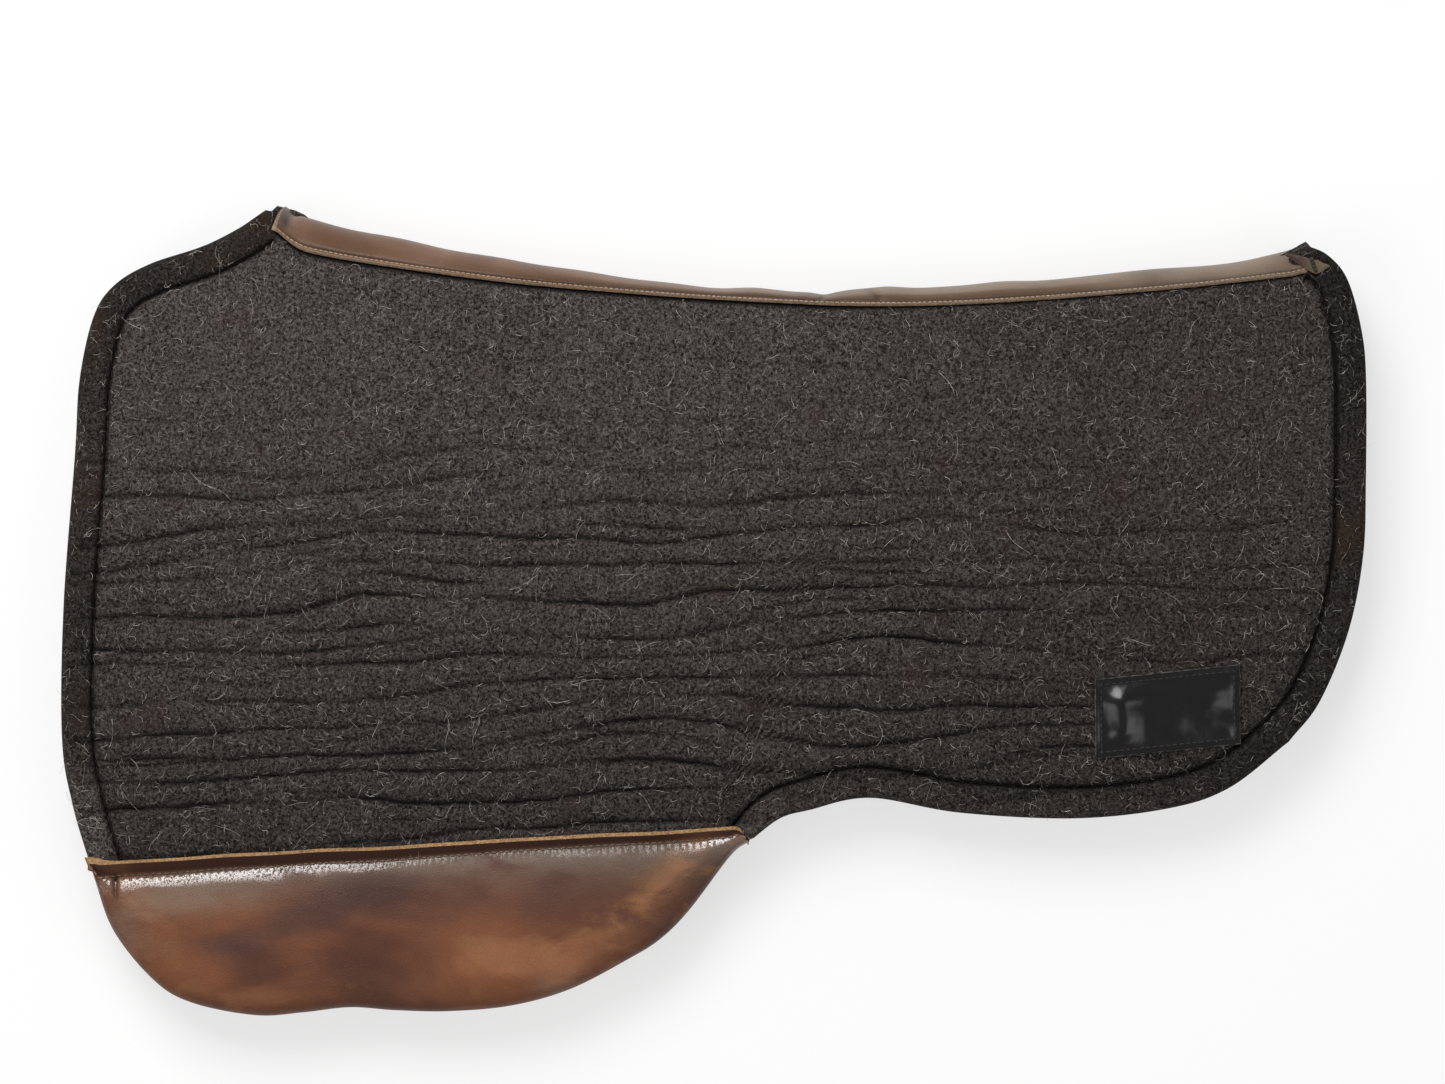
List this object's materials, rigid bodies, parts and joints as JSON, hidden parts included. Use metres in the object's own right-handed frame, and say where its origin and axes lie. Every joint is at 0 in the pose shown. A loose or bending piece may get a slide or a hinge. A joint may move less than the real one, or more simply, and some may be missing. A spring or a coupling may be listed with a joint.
{
  "type": "saddle pad",
  "caption": "Contoured western saddle pad of dark wool felt, folded along its dipped spine, with a leather spine strip, leather wear patches over the lower front edges and a blank label patch.",
  "frame": {"origin": "under the middle of the folded pad's box, on the surface that its off side lies on", "axes": "+X to the rear along the spine, +Y up towards the spine, +Z out of the near side, away from the surface"},
  "size_m": [0.7856, 0.4886, 0.0533],
  "materials": {
    "outer_felt": "dark charcoal brown wool felt with pale fibres",
    "lining_felt": "dark wool felt",
    "wear_leather": "mottled dark brown pull-up leather with a raw tan edge",
    "spine_leather": "smooth mid-brown leather, semi-gloss, raw tan edges",
    "dark_thread": "dark brown sewing thread",
    "tan_thread": "tan sewing thread",
    "label": "black glossy vinyl patch, blank"
  },
  "bodies": {
    "off_half": {"off_outer_felt": "outer_felt", "off_lining_felt": "lining_felt", "off_wear_leather": "wear_leather", "off_perimeter_stitching": "dark_thread", "off_wear_stitching": "dark_thread", "off_spine_stitching": "tan_thread", "spine_leather": "spine_leather", "ridge_seam": "dark_thread"},
    "near_half": {"near_outer_felt": "outer_felt", "near_lining_felt": "lining_felt", "near_wear_leather": "wear_leather", "near_perimeter_stitching": "dark_thread", "near_wear_stitching": "dark_thread", "near_spine_stitching": "tan_thread", "label_patch": "label", "label_stitching": "dark_thread"}
  },
  "joints": [
    {"name": "spine_fold", "type": "hinge", "parent": "off_half", "child": "near_half", "pos_m": [0, 0.2443, 0.0243], "axis": [-1, 0, 0], "range_deg": [0, 110], "deforming": ["spine_leather", "ridge_seam"]}
  ]
}
